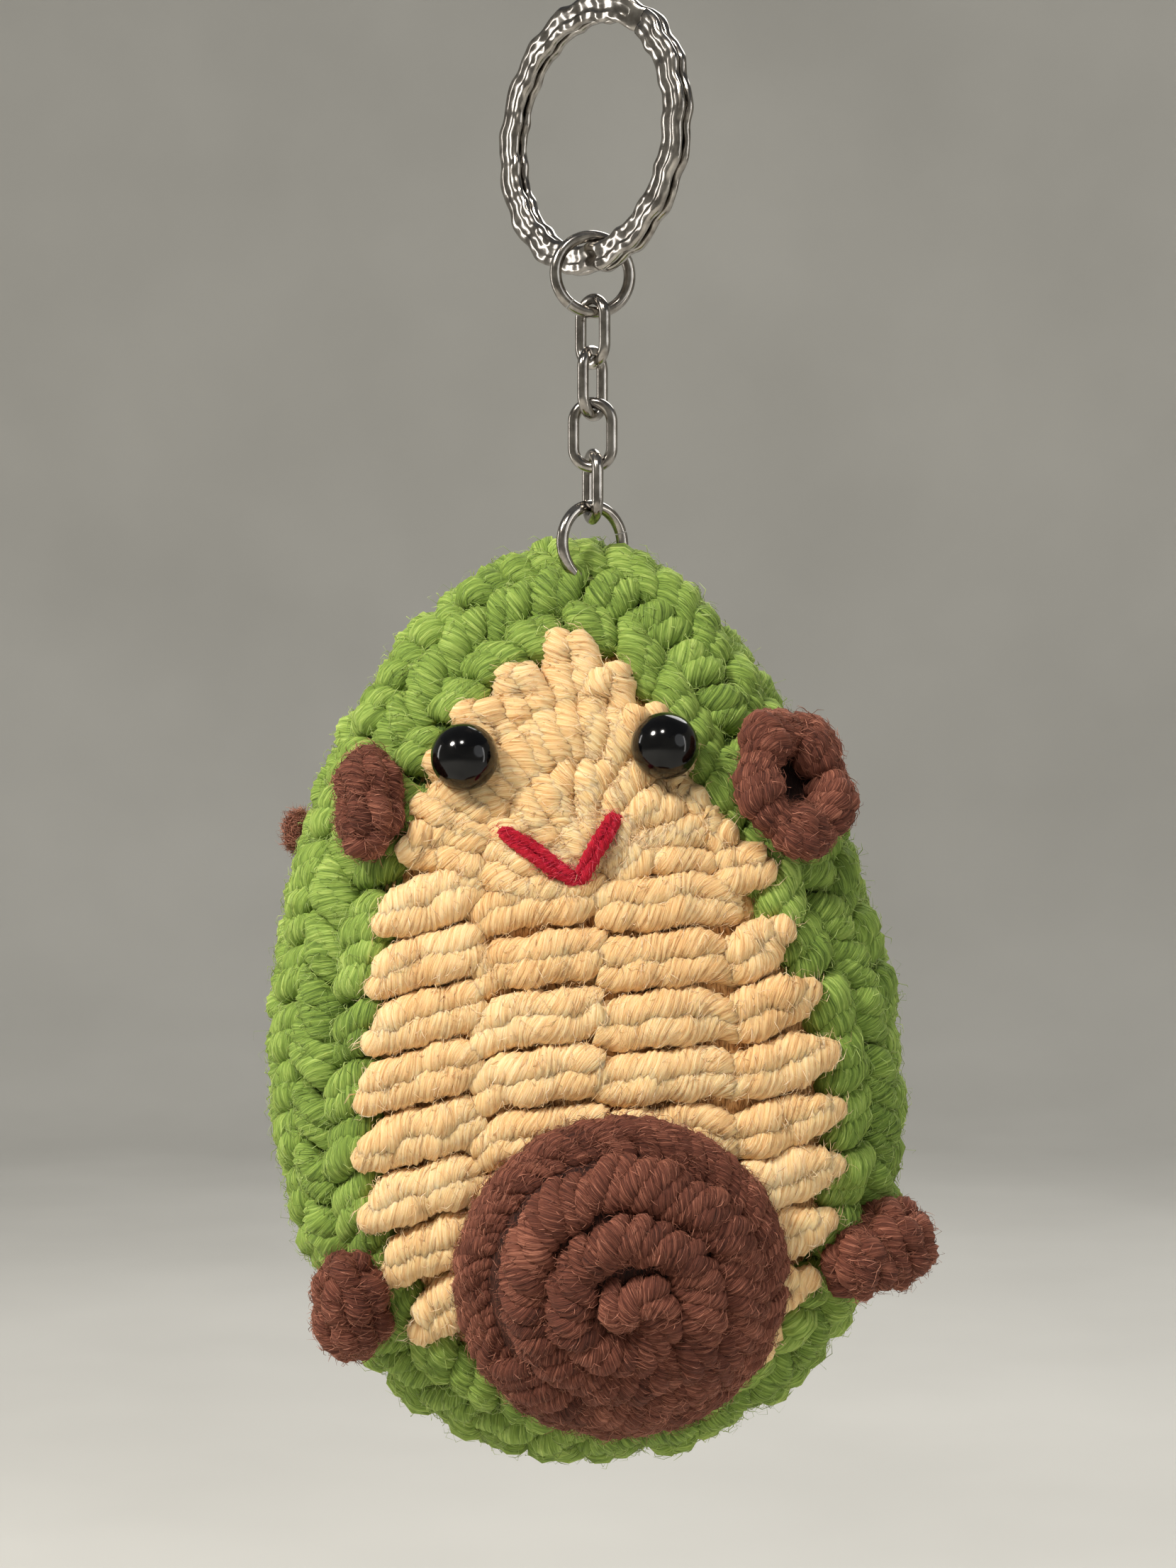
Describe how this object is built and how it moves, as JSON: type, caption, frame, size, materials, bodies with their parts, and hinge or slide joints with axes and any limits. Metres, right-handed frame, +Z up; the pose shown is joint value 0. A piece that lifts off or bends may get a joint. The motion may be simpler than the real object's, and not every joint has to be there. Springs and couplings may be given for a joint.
{
  "type": "plush keychain",
  "caption": "Crocheted avocado plush charm with a padded pit and small limbs, hanging from a jump ring, an oval-link chain and a wavy split ring.",
  "frame": {"origin": "centre of the split ring's hole, where the object is held", "axes": "+Z up, the chain hangs down -Z; the face looks along -Y; +X is the viewer's right"},
  "size_m": [0.0711, 0.0449, 0.1575],
  "materials": {
    "nickel_plate": "polished nickel plate on steel wire",
    "green_yarn": "fuzzy plied acrylic yarn, single crochet",
    "cream_yarn": "fuzzy plied acrylic yarn, long crochet posts",
    "brown_yarn": "fuzzy plied acrylic yarn, single crochet",
    "red_thread": "twisted acrylic yarn",
    "black_plastic": "high gloss",
    "washer_plastic": "moulded, matte",
    "fibrefill": "loose polyester filling"
  },
  "bodies": {
    "split_ring": {"split_ring": "nickel_plate"},
    "top_jump_ring": {"top_jump_ring": "nickel_plate"},
    "chain_link_1": {"chain_link_1": "nickel_plate"},
    "chain_link_2": {"chain_link_2": "nickel_plate"},
    "chain_link_3": {"chain_link_3": "nickel_plate"},
    "chain_link_4": {"chain_link_4": "nickel_plate"},
    "bottom_jump_ring": {"bottom_jump_ring": "nickel_plate"},
    "avocado_body": {"flesh_panel": "cream_yarn", "front_rim": "green_yarn", "edge_seam": "green_yarn", "back_panel": "green_yarn", "body_stuffing": "fibrefill", "left_eye": "black_plastic", "right_eye": "black_plastic", "left_eye_washer": "washer_plastic", "right_eye_washer": "washer_plastic", "mouth_stitch": "red_thread", "pit_cover": "brown_yarn", "pit_stuffing": "fibrefill", "left_arm": "brown_yarn", "left_arm_knot": "brown_yarn", "right_arm": "brown_yarn", "left_foot": "brown_yarn", "right_foot": "brown_yarn"}
  },
  "joints": [
    {"name": "top_ring_swing", "type": "hinge", "parent": "split_ring", "child": "top_jump_ring", "pos_m": [0, 0, -0.0135], "axis": [0.6561, -0.7547, 0], "range_deg": [-75, 75]},
    {"name": "link_1_swing", "type": "hinge", "parent": "top_jump_ring", "child": "chain_link_1", "pos_m": [0, 0, -0.01915], "axis": [0.9703, 0.2419, 0], "range_deg": [-75, 75]},
    {"name": "link_2_swing", "type": "hinge", "parent": "chain_link_1", "child": "chain_link_2", "pos_m": [0, 0, -0.02467], "axis": [-0.6157, 0.788, 0], "range_deg": [-45, 45]},
    {"name": "link_3_swing", "type": "hinge", "parent": "chain_link_2", "child": "chain_link_3", "pos_m": [0, 0, -0.03022], "axis": [-0.5, -0.866, 0], "range_deg": [-45, 45]},
    {"name": "link_4_swing", "type": "hinge", "parent": "chain_link_3", "child": "chain_link_4", "pos_m": [0, 0, -0.03578], "axis": [0.9903, -0.1392, 0], "range_deg": [-45, 45]},
    {"name": "bottom_ring_swing", "type": "hinge", "parent": "chain_link_4", "child": "bottom_jump_ring", "pos_m": [0, 0, -0.04133], "axis": [-0.2588, 0.9659, 0], "range_deg": [-45, 45]},
    {"name": "body_swing", "type": "hinge", "parent": "bottom_jump_ring", "child": "avocado_body", "pos_m": [0, 0, -0.044], "axis": [0.6157, -0.788, 0], "range_deg": [-15, 15]}
  ]
}
